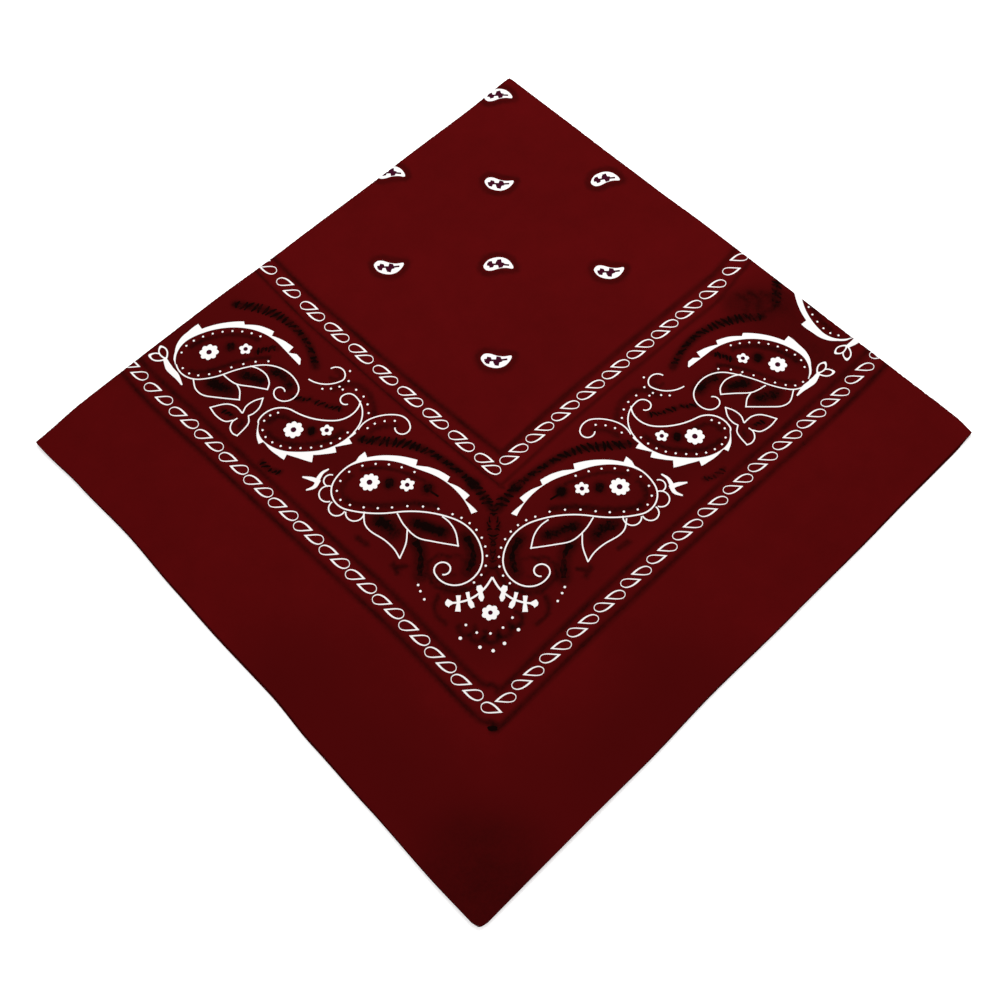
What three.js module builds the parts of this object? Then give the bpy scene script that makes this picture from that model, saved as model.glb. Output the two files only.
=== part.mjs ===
// A square cotton bandana, folded twice into a quarter and laid flat.
// Millimetres, +Z up. The origin is the middle of the flat underside. The four free corners of
// the cloth lie together at -X -Y, and the cloth's own middle is the folded corner at +X +Y.
import * as THREE from "three";

// Driving sizes
const clothWide = 552; // the whole square opened out, along X
const clothDeep = 540; // and along Y
const wall = 1.0; // the layer that shows, as a solid wall
const seamGap = 0.3; // between the two solids
const heightAtFree = 2.4; // the stack where its four free edges lie together
const heightAtFold = 3.6; // the stack over the folds and in the middle
const fallWidth = 24; // the strip along the free edges in which the stack thins
const edgeRounding = 0.35; // of the layer that shows, along its free edges
const foldTurn = 1.0; // outer radius of the stacked fold's turn
const innerTurn = 0.3; // radius inside the turned wall

const halfWide = clothWide / 4;
const halfDeep = clothDeep / 4;

// The four corners, counter-clockwise from the free one. outX and outY are how far the corner
// lies off the exact rectangle, and rounding is its radius seen from above.
const corners = [
  { name: "near", signX: -1, signY: -1, outX: 2.0, outY: 0, rounding: 5 },
  { name: "right", signX: 1, signY: -1, outX: 0.4, outY: 0, rounding: 2.2 },
  { name: "far", signX: 1, signY: 1, outX: 0, outY: 0.5, rounding: 1.4 },
  { name: "left", signX: -1, signY: 1, outX: 0, outY: 2.3, rounding: 1.4 },
];

// The four sides in the same order, each starting at the corner of its row above. edge says how
// the layers end there: free edges, one wrap around all layers, or two folds stacked.
const sides = [
  { name: "near right", edge: "free", pointsAlong: 17 },
  { name: "far right", edge: "wrap", pointsAlong: 17 },
  { name: "far left", edge: "stack", pointsAlong: 17 },
  { name: "near left", edge: "free", pointsAlong: 17 },
];

// Where a side bows off its straight line: at is the share of the way along it, reach is the
// share over which the bow dies away, and out is its size in mm, outward positive.
const bows = [
  { side: "near right", at: 0.25, reach: 0.14, out: 0.5 },
  { side: "near right", at: 0.44, reach: 0.08, out: -0.5 },
  { side: "near right", at: 0.72, reach: 0.14, out: 0.6 },
  { side: "far right", at: 0.12, reach: 0.16, out: 1.2 },
  { side: "far right", at: 0.45, reach: 0.18, out: 1.2 },
  { side: "far left", at: 0.42, reach: 0.12, out: 0.6 },
  { side: "far left", at: 0.74, reach: 0.22, out: 1.9 },
  { side: "near left", at: 0.2, reach: 0.12, out: -1.7 },
  { side: "near left", at: 0.55, reach: 0.12, out: -1.2 },
];

// Soft ridges and hollows of the laid cloth: the middle of each, its length and width as the
// distances over which it dies away, its direction in degrees from +X, and its rise.
const swells = [
  { x: -128, y: -18, length: 26, width: 9, turn: 65, rise: 0.45 },
  { x: -106, y: -34, length: 30, width: 9, turn: 60, rise: -0.4 },
  { x: -122, y: -80, length: 24, width: 10, turn: 80, rise: 0.4 },
  { x: -98, y: -104, length: 26, width: 11, turn: 20, rise: -0.45 },
  { x: -36, y: -113, length: 34, width: 9, turn: 8, rise: 0.45 },
  { x: 30, y: -104, length: 30, width: 10, turn: -12, rise: -0.4 },
  { x: 88, y: -116, length: 26, width: 10, turn: 12, rise: 0.4 },
  { x: -110, y: 62, length: 30, width: 12, turn: 50, rise: -0.4 },
  { x: -100, y: 108, length: 30, width: 10, turn: 15, rise: 0.45 },
  { x: -30, y: 112, length: 44, width: 11, turn: -4, rise: 0.5 },
  { x: 62, y: 30, length: 46, width: 14, turn: -48, rise: 0.5 },
  { x: 104, y: -30, length: 34, width: 11, turn: 85, rise: -0.45 },
  { x: -20, y: -10, length: 60, width: 18, turn: -42, rise: 0.4 },
  { x: 20, y: 78, length: 40, width: 14, turn: 30, rise: -0.4 },
];
const swellsStartIn = 10; // they die away this near to the outline

// How far each hidden layer's free edge lies inside the edge of the layer that shows, in mm with a
// slow sway along it; a negative inset peeks out.
const hiddenEdges = [
  { layer: 4, inset: -0.3, sway: 0.5, waves: 2.5, start: 0.4 },
  { layer: 3, inset: 0.1, sway: 0.5, waves: 3.5, start: 2.1 },
  { layer: 2, inset: 0.3, sway: 0.4, waves: 4.5, start: 4.0 },
];
const layerGroove = 1.4; // depth of the groove between two hidden layers

// Rings of the sheets, as shares of the way in from the rim to the middle
const ringShares = [0.03, 0.08, 0.15, 0.24, 0.35, 0.48, 0.62, 0.78];

const degrees = Math.PI / 180;
const mix = (a, b, share) => a + (b - a) * share;

function smooth(value) {
  const share = Math.min(Math.max(value, 0), 1);
  return share * share * (3 - 2 * share);
}

function cornerPlace({ signX, signY, outX, outY }) {
  return new THREE.Vector2(signX * (halfWide + outX), signY * (halfDeep + outY));
}

function bowAt(side, share) {
  return bows
    .filter((bow) => bow.side === side.name)
    .reduce((sum, bow) => sum + bow.out * Math.exp(-(((share - bow.at) / bow.reach) ** 2)), 0);
}

// The outline as a counter-clockwise loop. Each point knows its place, the edge kinds that meet
// there with their shares, and how far round the free edges it lies.
function outlineLoop() {
  const places = corners.map(cornerPlace);
  const loop = [];
  sides.forEach((side, index) => {
    const next = (index + 1) % 4;
    const start = places[index];
    const end = places[next];
    const along = end.clone().sub(start);
    const length = along.length();
    along.normalize();
    const outward = new THREE.Vector2(along.y, -along.x);
    const first = corners[index].rounding / length;
    const last = 1 - corners[next].rounding / length;
    for (let step = 0; step <= side.pointsAlong; step += 1) {
      const share = mix(first, last, step / side.pointsAlong);
      const settle = Math.sqrt(Math.max(Math.sin((Math.PI * step) / side.pointsAlong), 0));
      const place = start.clone().addScaledVector(along, share * length);
      place.addScaledVector(outward, bowAt(side, share) * settle);
      loop.push({ place, kinds: { [side.edge]: 1 }, share: index + share });
    }
    const from = loop[loop.length - 1].place;
    const nextSide = sides[next];
    const nextAlong = places[(next + 1) % 4].clone().sub(places[next]).normalize();
    const to = places[next].clone().addScaledVector(nextAlong, corners[next].rounding);
    const arc = new THREE.QuadraticBezierCurve(from, places[next], to);
    [0.33, 0.67].forEach((share) => {
      const kinds = {};
      kinds[side.edge] = 1 - share;
      kinds[nextSide.edge] = (kinds[nextSide.edge] ?? 0) + share;
      loop.push({ place: arc.getPoint(share), kinds, share: index + 1 + (share - 0.5) / 40 });
    });
  });
  return loop;
}

function swellAt(x, y) {
  return swells.reduce((sum, { x: middleX, y: middleY, length, width, turn, rise }) => {
    const cos = Math.cos(turn * degrees);
    const sin = Math.sin(turn * degrees);
    const along = ((x - middleX) * cos + (y - middleY) * sin) / length;
    const across = (-(x - middleX) * sin + (y - middleY) * cos) / width;
    return sum + rise * Math.exp(-along * along - across * across);
  }, 0);
}

// Height of the upper face of the stack over a point of the plan.
function topHeight(x, y) {
  const toFree = Math.min(x + halfWide, y + halfDeep);
  const toFold = Math.min(halfWide - x, halfDeep - y);
  const stack = mix(heightAtFree, heightAtFold, smooth(toFree / fallWidth));
  return stack + swellAt(x, y) * smooth(Math.min(toFree, toFold) / swellsStartIn);
}

// A point of the loop drawn in toward the middle by inset mm, at height z.
function drawnIn({ place }, inset, z) {
  const x = place.x * (1 - inset / halfWide);
  const y = place.y * (1 - inset / halfDeep);
  return new THREE.Vector3(x, y, z);
}

// Angles of a section's quarter turn, from its start to its end
const quarterTurn = [0, 30, 60, 90].map((angle) => angle * degrees);

// An outer quarter turn from the upper face down to the rim, as pairs of inset and height.
const turnedDown = (radius, height) =>
  quarterTurn.map((a) => [radius * (1 - Math.sin(a)), height - radius * (1 - Math.cos(a))]);

// The rim of the layer that shows, from its upper face round to its lower one.
const topRims = {
  free(height) {
    const low = wall - edgeRounding;
    return [
      ...turnedDown(edgeRounding, height),
      [0, height - low],
      [0.1, height - wall + 0.12],
      [0.35, height - wall],
      [0.7, height - wall],
      [1.1, height - wall],
      [1.5, height - wall],
    ];
  },
  turned(height, turn, end) {
    const deep = height - wall - innerTurn;
    return [
      ...turnedDown(turn, height),
      [0, end],
      [wall, end],
      ...[...quarterTurn]
        .reverse()
        .map((a) => [wall + innerTurn * (1 - Math.sin(a)), deep + innerTurn * Math.cos(a)]),
    ];
  },
  wrap: (height) => topRims.turned(height, height / 2 - 0.05, height / 2 - 0.1),
  stack: (height) => topRims.turned(height, foldTurn, height * 0.62),
};

// The rim of the hidden layers, from the underside up to their upper face.
const hiddenRims = {
  free(height, point) {
    const upper = height - wall - seamGap;
    const sway = ({ inset, sway: size, waves, start }) =>
      inset + size * Math.sin(2 * Math.PI * waves * (point.share / 4) + start);
    const [fourth, third, second] = hiddenEdges.map(sway);
    return [
      [fourth + 0.15, 0],
      [fourth, upper * 0.08],
      [fourth, upper * 0.26],
      [layerGroove, upper * 0.31],
      [third, upper * 0.37],
      [third, upper * 0.6],
      [layerGroove, upper * 0.65],
      [second, upper * 0.71],
      [second, upper * 0.93],
      [second + 0.15, upper],
    ];
  },
  wrap(height) {
    const upper = height - wall - seamGap;
    const lip = height / 2 - 0.1 - seamGap;
    const inside = wall + seamGap;
    return [
      ...[0, 30, 60].map((a) => [lip * (1 - Math.sin(a * degrees)), lip * (1 - Math.cos(a * degrees))]),
      [0, lip * 0.85],
      [0.1, lip],
      [0.7, lip],
      [inside, lip],
      [inside, Math.max(upper - innerTurn, lip + 0.1)],
      [inside + innerTurn * 0.3, upper - innerTurn * 0.3],
      [inside + innerTurn, upper],
    ];
  },
  stack(height) {
    const upper = height - wall - seamGap;
    const lip = height * 0.62 - seamGap;
    const pair = lip * 0.62;
    const inside = wall + seamGap;
    return [
      [pair * 0.45, 0],
      [pair * 0.12, pair * 0.15],
      [0, pair * 0.5],
      [pair * 0.12, pair * 0.88],
      [0.9, pair * 1.08],
      [0.25, pair * 1.2],
      [0.1, lip],
      [inside, lip],
      [inside + innerTurn * 0.3, mix(lip, upper, 0.7)],
      [inside + innerTurn, upper],
    ];
  },
};

// A rim at a point of the loop, blended where two kinds of edge meet at a corner.
function rimAt(rims, point) {
  const height = topHeight(point.place.x, point.place.y);
  const parts = Object.entries(point.kinds).map(([kind, share]) => ({
    share,
    pairs: rims[kind](height, point),
  }));
  return parts[0].pairs.map((_, index) => {
    const blend = (item) => parts.reduce((sum, part) => sum + part.share * part.pairs[index][item], 0);
    return drawnIn(point, blend(0), blend(1));
  });
}

// Rings from a rim's end toward the middle, on the upper face dropped by drop.
function sheetRings(rim, drop) {
  return ringShares.map((share) =>
    rim.map((start) => {
      const x = start.x * (1 - share);
      const y = start.y * (1 - share);
      const settled = smooth(share / ringShares[1]);
      return new THREE.Vector3(x, y, mix(start.z, topHeight(x, y) - drop, settled));
    }),
  );
}

// A closed solid through rings of equal length, closed by a point in the middle at each end.
function solidThrough(rings, firstMiddle, lastMiddle) {
  const count = rings[0].length;
  const points = [firstMiddle, ...rings.flat(), lastMiddle];
  const at = (ring, step) => 1 + ring * count + (step % count);
  const last = points.length - 1;
  const faces = [];
  for (let step = 0; step < count; step += 1) {
    faces.push(0, at(0, step), at(0, step + 1));
    for (let ring = 0; ring + 1 < rings.length; ring += 1) {
      faces.push(at(ring, step), at(ring + 1, step), at(ring + 1, step + 1));
      faces.push(at(ring, step), at(ring + 1, step + 1), at(ring, step + 1));
    }
    faces.push(last, at(rings.length - 1, step + 1), at(rings.length - 1, step));
  }
  const geometry = new THREE.BufferGeometry();
  geometry.setAttribute("position", new THREE.Float32BufferAttribute(points.flatMap((p) => p.toArray()), 3));
  geometry.setIndex(faces);
  geometry.computeVertexNormals();
  return geometry;
}

const columnsOf = (rims) => rims[0].map((_, index) => rims.map((rim) => rim[index]));

// The quarter that shows, from the middle of its upper face over its rim to the lower face.
function topLayer(loop) {
  const rims = columnsOf(loop.map((point) => rimAt(topRims, point)));
  const upper = sheetRings(rims[0], 0).reverse();
  const lower = sheetRings(rims[rims.length - 1], wall);
  const middle = topHeight(0, 0);
  return solidThrough(
    [...upper, ...rims, ...lower],
    new THREE.Vector3(0, 0, middle),
    new THREE.Vector3(0, 0, middle - wall),
  );
}

// The three quarters below it, from their upper face down over their edges to the underside.
function hiddenLayers(loop) {
  const rims = columnsOf(loop.map((point) => rimAt(hiddenRims, point))).reverse();
  const upper = sheetRings(rims[0], wall + seamGap).reverse();
  const middle = topHeight(0, 0) - wall - seamGap;
  return solidThrough(
    [...upper, ...rims],
    new THREE.Vector3(0, 0, middle),
    new THREE.Vector3(0, 0, 0),
  );
}

function cottonMesh(name, geometry, color) {
  const material = new THREE.MeshStandardMaterial({ color, roughness: 0.85, metalness: 0 });
  const mesh = new THREE.Mesh(geometry, material);
  mesh.name = name;
  return mesh;
}

const loop = outlineLoop();
const bandana = new THREE.Group();
bandana.add(cottonMesh("top_layer", topLayer(loop), 0x8c0f18));
bandana.add(cottonMesh("hidden_layers", hiddenLayers(loop), 0x6e0d14));

// The middle of the cloth's own box, seen from above, lies on the origin.
const middle = new THREE.Box3().setFromObject(bandana).getCenter(new THREE.Vector3());
bandana.position.set(-middle.x, -middle.y, 0);

export default bandana;
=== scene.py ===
# A square cotton bandana with a paisley border print, folded into a quarter and lying flat.
# The cloth's sizes are in millimetres. Its x and y run along the two free edges, from the near
# corner, where the four free corners of the cloth lie together.
import math

import bpy
import numpy as np
from mathutils import Matrix, Vector
from mathutils.geometry import delaunay_2d_cdt


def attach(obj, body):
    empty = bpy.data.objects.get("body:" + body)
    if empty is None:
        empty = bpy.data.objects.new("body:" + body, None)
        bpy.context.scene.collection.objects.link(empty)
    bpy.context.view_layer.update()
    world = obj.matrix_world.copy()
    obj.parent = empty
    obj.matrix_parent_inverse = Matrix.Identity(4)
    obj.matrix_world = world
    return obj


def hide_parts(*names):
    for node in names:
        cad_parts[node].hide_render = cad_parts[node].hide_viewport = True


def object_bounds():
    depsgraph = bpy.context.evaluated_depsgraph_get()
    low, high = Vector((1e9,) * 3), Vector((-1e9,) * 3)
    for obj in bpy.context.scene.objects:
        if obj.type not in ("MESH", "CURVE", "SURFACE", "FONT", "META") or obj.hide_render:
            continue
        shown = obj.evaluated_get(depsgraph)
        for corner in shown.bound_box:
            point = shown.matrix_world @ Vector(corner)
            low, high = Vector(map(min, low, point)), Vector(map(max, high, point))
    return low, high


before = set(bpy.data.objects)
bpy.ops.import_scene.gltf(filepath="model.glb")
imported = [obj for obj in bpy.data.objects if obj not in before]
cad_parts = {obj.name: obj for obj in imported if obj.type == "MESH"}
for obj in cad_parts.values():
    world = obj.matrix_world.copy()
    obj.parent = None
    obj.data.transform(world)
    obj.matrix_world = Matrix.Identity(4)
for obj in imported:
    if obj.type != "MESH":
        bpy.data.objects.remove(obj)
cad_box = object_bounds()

MM = 0.001

# Sizes of the folded cloth
quarter_wide = 276.0
quarter_deep = 270.0
cotton_thick = 0.36
height_at_free = 2.4
height_at_fold = 3.6
fall_width = 24.0
swells_start_in = 10.0
turn_wide = 2.6  # cloth in a quarter turn of the wrapped fold
turn_narrow = 0.9  # and of the stacked fold
edges_join_in = 14.0  # free edges of two joined layers meet in this length beside a fold
edge_step = 2.0
corner_round = 2.4
top_mesh_step = 1.6
hidden_mesh_step = 3.2
plain_mesh_step = 6.0
weld_within = 0.002
smooth_under = 50  # degrees between faces that are shaded as one
on_edge = 0.01  # points this near a fold's end lie on it

# The map of the mesh: the print fills most of it, and faces that hardly show lie at its right
print_map_margin = 3.0
print_map_reach = 286.0
print_map_share = 0.93
spare_map_left = 0.94
spare_map_size = 0.055
spare_map_pitch = 0.065
rim_map_wide = 0.05
rim_map_low = 0.5
rim_map_tall = 0.45

# How far each side lies outside the exact rectangle: share of the way from the near end, mm out
side_bows = {
    "near right": [(0, 0.2), (0.3, 0.3), (0.44, -0.7), (0.6, 0), (0.74, 0), (0.86, -0.5), (1, -0.6)],
    "near left": [(0, 1.7), (0.08, 1.9), (0.22, 0.9), (0.34, 0.3), (0.44, -1.1), (0.56, -0.8),
                  (0.66, -1.2), (0.78, -2.2), (0.9, -1.2), (1, 0.2)],
    "far right": [(0, 1.6), (0.03, 2.5), (0.12, 2.2), (0.3, 2.0), (0.54, 1.8), (0.66, 1.0), (0.8, 0.6),
                  (1, 0.2)],
    "far left": [(0, 2.3), (0.1, 3.1), (0.22, 3.2), (0.34, 3.1), (0.5, 1.9), (0.74, 1.0), (0.9, 0.4),
                 (1, 0.8)],
}

# Soft ridges and hollows: place from the middle of the quarter, length, width, turn, rise
swells = [
    (-128, -18, 26, 9, 65, 0.45),
    (-106, -34, 30, 9, 60, -0.4),
    (-122, -80, 24, 10, 80, 0.4),
    (-98, -104, 26, 11, 20, -0.45),
    (-36, -113, 34, 9, 8, 0.45),
    (30, -104, 30, 10, -12, -0.4),
    (88, -116, 26, 10, 12, 0.4),
    (-110, 62, 30, 12, 50, -0.4),
    (-100, 108, 30, 10, 15, 0.45),
    (-30, 112, 44, 11, -4, 0.5),
    (62, 30, 46, 14, -48, 0.5),
    (104, -30, 34, 11, 85, -0.45),
    (-20, -10, 60, 18, -42, 0.4),
    (20, 78, 40, 14, 30, -0.4),
]

# Free edges of the hidden layers: inset from the top layer's edge, sway, waves, start
hidden_edges = {
    0: (-0.3, 0.5, 2.5, 0.4),
    1: (0.1, 0.5, 3.5, 2.1),
    2: (0.3, 0.4, 4.5, 4.0),
}


def smooth(value):
    share = np.clip(value, 0, 1)
    return share * share * (3 - 2 * share)


def eased(rows, at):
    places, values = np.array(rows, float).T
    index = np.clip(np.searchsorted(places, at) - 1, 0, len(rows) - 2)
    share = smooth((at - places[index]) / (places[index + 1] - places[index]))
    return values[index] + (values[index + 1] - values[index]) * share


def low_y(x):
    return -eased(side_bows["near right"], x / quarter_wide)


def low_x(y):
    return -eased(side_bows["near left"], y / quarter_deep)


def high_x(y):
    return quarter_wide + eased(side_bows["far right"], y / quarter_deep)


def high_y(x):
    return quarter_deep + eased(side_bows["far left"], x / quarter_wide)


def stack_height(x, y):
    x = np.clip(x, 0, quarter_wide)
    y = np.clip(y, 0, quarter_deep)
    to_free = np.minimum(x, y)
    to_fold = np.minimum(quarter_wide - x, quarter_deep - y)
    rise = 0
    for middle_x, middle_y, length, width, turn, size in swells:
        across_x = x - quarter_wide / 2 - middle_x
        across_y = y - quarter_deep / 2 - middle_y
        cos, sin = math.cos(math.radians(turn)), math.sin(math.radians(turn))
        along = (across_x * cos + across_y * sin) / length
        aside = (across_y * cos - across_x * sin) / width
        rise = rise + size * np.exp(-along * along - aside * aside)
    stack = height_at_free + (height_at_fold - height_at_free) * smooth(to_free / fall_width)
    return stack + rise * smooth(np.minimum(to_free, to_fold) / swells_start_in)


def layer_pitch(height):
    return (height - cotton_thick) / 3


def turn_x(y):
    return high_x(y) - stack_height(quarter_wide, y) / 2


def turn_y(x):
    return high_y(x) - (layer_pitch(stack_height(x, quarter_deep)) + cotton_thick) / 2


def end_x(y):
    return turn_x(y) + turn_wide


def end_y(x):
    return turn_y(x) + turn_narrow


def fold_up(plan, under_x, under_y, offset):
    """Places of the cloth: under_x and under_y say past which folds it lies, and offset is the
    distance from its middle towards its printed face."""
    x, y = plan[:, 0], plan[:, 1]
    height = stack_height(x, y)
    pitch = layer_pitch(height)
    start_x, start_y = turn_x(y), turn_y(x)
    pair_turn = np.clip((y - start_y) / turn_narrow, 0, 1) * math.pi / 2
    if under_y:
        pair_turn = math.pi - pair_turn
    radius = pitch / 2 + offset
    level = cotton_thick / 2 + 2.5 * pitch + radius * np.cos(pair_turn)
    out_y = np.minimum(y, start_y) + radius * np.sin(pair_turn)
    wrap_turn = np.clip((x - start_x) / turn_wide, 0, 1) * math.pi / 2
    if under_x:
        wrap_turn = math.pi - wrap_turn
    middle = cotton_thick / 2 + 1.5 * pitch
    reach = level - middle
    out_x = np.minimum(x, start_x) + reach * np.sin(wrap_turn)
    return np.stack([out_x, out_y, middle + reach * np.cos(wrap_turn)], axis=1)


# Drawing in the plan: lines are arrays of points, and headings are in degrees

def arcs(start, heading, rows, step=1.1):
    """A line of arcs, each row giving an arc's length and how far it turns to the left."""
    x, y = start
    angle = math.radians(heading)
    points = [(x, y)]
    for length, turn in rows:
        pieces = max(2, math.ceil(length / step), math.ceil(abs(turn) / 14))
        for piece in range(pieces):
            angle += math.radians(turn) / pieces / 2
            x += length / pieces * math.cos(angle)
            y += length / pieces * math.sin(angle)
            angle += math.radians(turn) / pieces / 2
            points.append((x, y))
    return np.array(points)


def bend(knots, pieces=6, closed=False):
    """A smooth line through a few knots."""
    knots = [np.array(knot, float) for knot in knots]
    if closed:
        padded = [knots[-1], *knots, knots[0], knots[1]]
    else:
        padded = [2 * knots[0] - knots[1], *knots, 2 * knots[-1] - knots[-2]]
    points = []
    for a, b, c, d in zip(padded, padded[1:], padded[2:], padded[3:]):
        for piece in range(pieces):
            t = piece / pieces
            curve = 2 * b + (c - a) * t + (2 * a - 5 * b + 4 * c - d) * t**2 + (3 * b - a - 3 * c + d) * t**3
            points.append(curve / 2)
    if not closed:
        points.append(knots[-1])
    return np.array(points)


def circle(middle, radius, first=0.0, sweep=360.0, pieces=12):
    turns = np.radians(first + sweep * np.arange(pieces + (abs(sweep) < 360)) / pieces)
    return np.array(middle) + radius * np.stack([np.cos(turns), np.sin(turns)], axis=1)


def distances(line):
    steps = np.hypot(*np.diff(line, axis=0).T)
    return np.concatenate([[0], np.cumsum(steps)])


def at(line, where, aside=0.0):
    """Points at distances along a line, set off to its left by aside."""
    places = distances(line)
    inside = np.clip(where, 0, places[-1])
    points = np.stack([np.interp(inside, places, line[:, i]) for i in (0, 1)], axis=1)
    reach = 0.4
    before, after = np.clip(inside - reach, 0, None), np.clip(inside + reach, None, places[-1])
    heading = np.stack(
        [np.interp(after, places, line[:, i]) - np.interp(before, places, line[:, i]) for i in (0, 1)], axis=1
    )
    heading /= np.maximum(np.hypot(*heading.T), 1e-9)[:, None]
    left = np.stack([-heading[:, 1], heading[:, 0]], axis=1)
    return points + left * np.reshape(aside, (-1, 1))


def size_along(line, rows):
    """Distances along a line with the size that rows of distance and size give there."""
    places = distances(line)
    if np.isscalar(rows):
        return places, np.full(len(places), float(rows))
    knots, sizes = np.array(rows, float).T
    where = np.unique(np.concatenate([places, knots[knots < places[-1]]]))
    return where, np.interp(where, knots, sizes)


WHITE, GROUND, HEART, BLACK, FADED = "white", "ground", "heart", "black", "faded"

# How much white, black and plum each ink has
ink_parts = {WHITE: (1, 0, 0), GROUND: (0, 0, 0), HEART: (0, 0, 1), BLACK: (0, 1, 0), FADED: (0, 0.6, 0)}
rim_painted_shade = 0.25  # painted shade on the sides of the layers, cut and folded alike

line_wide = 0.56
drop_wide = 0.47
middle_line = quarter_wide - 13.0  # the print is mirrored across this x


class Print:
    """What is printed on one quarter, with the painted shade laid on it as soft marks. Later shapes lie over
    earlier ones.
    """

    def __init__(self):
        self.shapes = []
        self.smears = []
        self.place(0, 0)

    def place(self, along, up, turn=0.0, scale=1.0, mirrored=False, upside_down=False, beyond=False):
        """Sets where a motif goes: along is to the right and up is away from the near corner.
        beyond puts it past the print's middle line."""
        angle = math.radians(turn)
        cos, sin = math.cos(angle) * scale, math.sin(angle) * scale

        def spot(points):
            x, y = points[:, 0], points[:, 1]
            if mirrored:
                x = -x
            if upside_down:
                y = -y
            right, away = along + cos * x - sin * y, up + sin * x + cos * y
            plan_x, plan_y = (away + right) / math.sqrt(2), (away - right) / math.sqrt(2)
            return np.stack([2 * middle_line - plan_x if beyond else plan_x, plan_y], axis=1)

        self.spot = spot
        self.mirrored = mirrored

    def fill(self, points, ink=WHITE):
        outline = self.spot(np.array(points, float))
        following = np.roll(outline, -1, axis=0)
        if (outline[:, 0] * following[:, 1] - outline[:, 1] * following[:, 0]).sum() < 0:
            outline = outline[::-1]
        self.shapes.append((outline, ink))

    def stroke(self, line, width=line_wide, ink=WHITE):
        line = np.array(line, float)
        where, wide = size_along(line, width)
        outline = [at(line, where, wide / 2), at(line, where, -wide / 2)[::-1]]
        self.fill(np.concatenate(outline), ink)

    def band(self, line, rows, side):
        """A solid band on the left (1) or right (-1) of a line, as thick as its rows say."""
        where, thick = size_along(line, rows)
        inner = at(line, where, -side * line_wide / 4)
        outer = at(line, where, side * np.maximum(thick - line_wide, line_wide / 2))
        self.fill(np.concatenate([inner, outer[::-1]]))

    def dots(self, line, first, last, count, aside, radius=0.47):
        for middle in at(line, np.linspace(first, last, count), aside):
            self.fill(circle(middle, radius, pieces=10))

    def spots(self, middles, radius=0.52):
        for middle in middles:
            self.fill(circle(middle, radius, pieces=10))

    def flower(self, middle, radius, petals, heart=1.25, start=0.0, notch=0.2):
        turns = np.radians(np.arange(0, 360, 360 / (petals * 6)))
        wave = np.abs(np.cos((turns - math.radians(start)) * petals / 2))
        reach = radius * (1 - notch + notch * wave) * (1 + 0.04 * np.sin(2 * turns + 1))
        self.fill(np.array(middle) + np.stack([reach * np.cos(turns), reach * np.sin(turns)], axis=1))
        self.fill(circle(middle, heart, pieces=10), HEART)

    def drop(self, middle, pointing_left, lying_over, tall):
        """An open drop: its tip points left or right, and lying_over turns its fuller side down."""
        outer = bend([(5.0, -1.5), (2.9, 0.7), (0.9, 2.1), (-1.2, 2.6), (-2.9, 1.7), (-3.2, 0.1),
                      (-2.3, -1.4), (-0.3, -1.95), (2.2, -1.85), (5.0, -1.6)], 3)
        way = np.array([-1 if pointing_left else 1, -tall if lying_over else tall])
        shrink = (1 - 2.15 * drop_wide / 5.1, 1 - 2.1 * drop_wide / 4.5)
        hole = (outer + (0.4, -0.4)) * shrink - (0.68, -0.38)
        self.fill(np.array(middle) + outer * way)
        self.fill(np.array(middle) + hole * way, GROUND)

    def blob(self, middle, wide, tall, turn=0.0):
        """A ragged black oval."""
        cos, sin = math.cos(math.radians(turn)), math.sin(math.radians(turn))
        oval = circle((0, 0), 0.5, pieces=11) * (wide, tall)
        oval[::3] *= 0.8
        self.fill(oval @ np.array([(cos, sin), (-sin, cos)]) + middle, BLACK)
        self.smear([middle, middle], min(wide, tall) * 0.75, 0.8)

    def contour(self, line, width=0.8, soft=0.6):
        """A ragged black line with a soft edge."""
        where = np.arange(0, distances(line)[-1], 0.9)
        ragged = 1 + 0.25 * np.sin(where * 1.7) + 0.3 * np.sin(where * 0.6 + 1)
        self.stroke(line, np.stack([where, width * ragged], axis=1), BLACK if width > 1.5 else FADED)
        self.smear(line, width * 1.5, soft)

    def scribble(self, line, reach, pitch=2.1, width=1.15, soft=0.55):
        """Short leaning black strokes across a line, as a quick pen leaves them."""
        for place in np.arange(pitch / 2, distances(line)[-1], pitch):
            swing = reach * (0.8 + 0.3 * math.sin(place * 2.3))
            lean = pitch * (0.35 + 0.3 * math.cos(place * 1.9))
            bow = pitch * 0.25 * math.sin(place * 3.7)
            knots = at(line, place + np.array([lean, bow, -lean]), swing * np.array([1, 0, -1]))
            self.stroke(bend(knots, 3), [(0, width * 0.4), (swing, width), (2 * swing, width * 0.5)], BLACK)
        self.smear(line, reach * 0.9, soft)

    def smear(self, line, width, strength):
        self.smears.append((self.spot(np.array(line, float)), width, strength))


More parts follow.
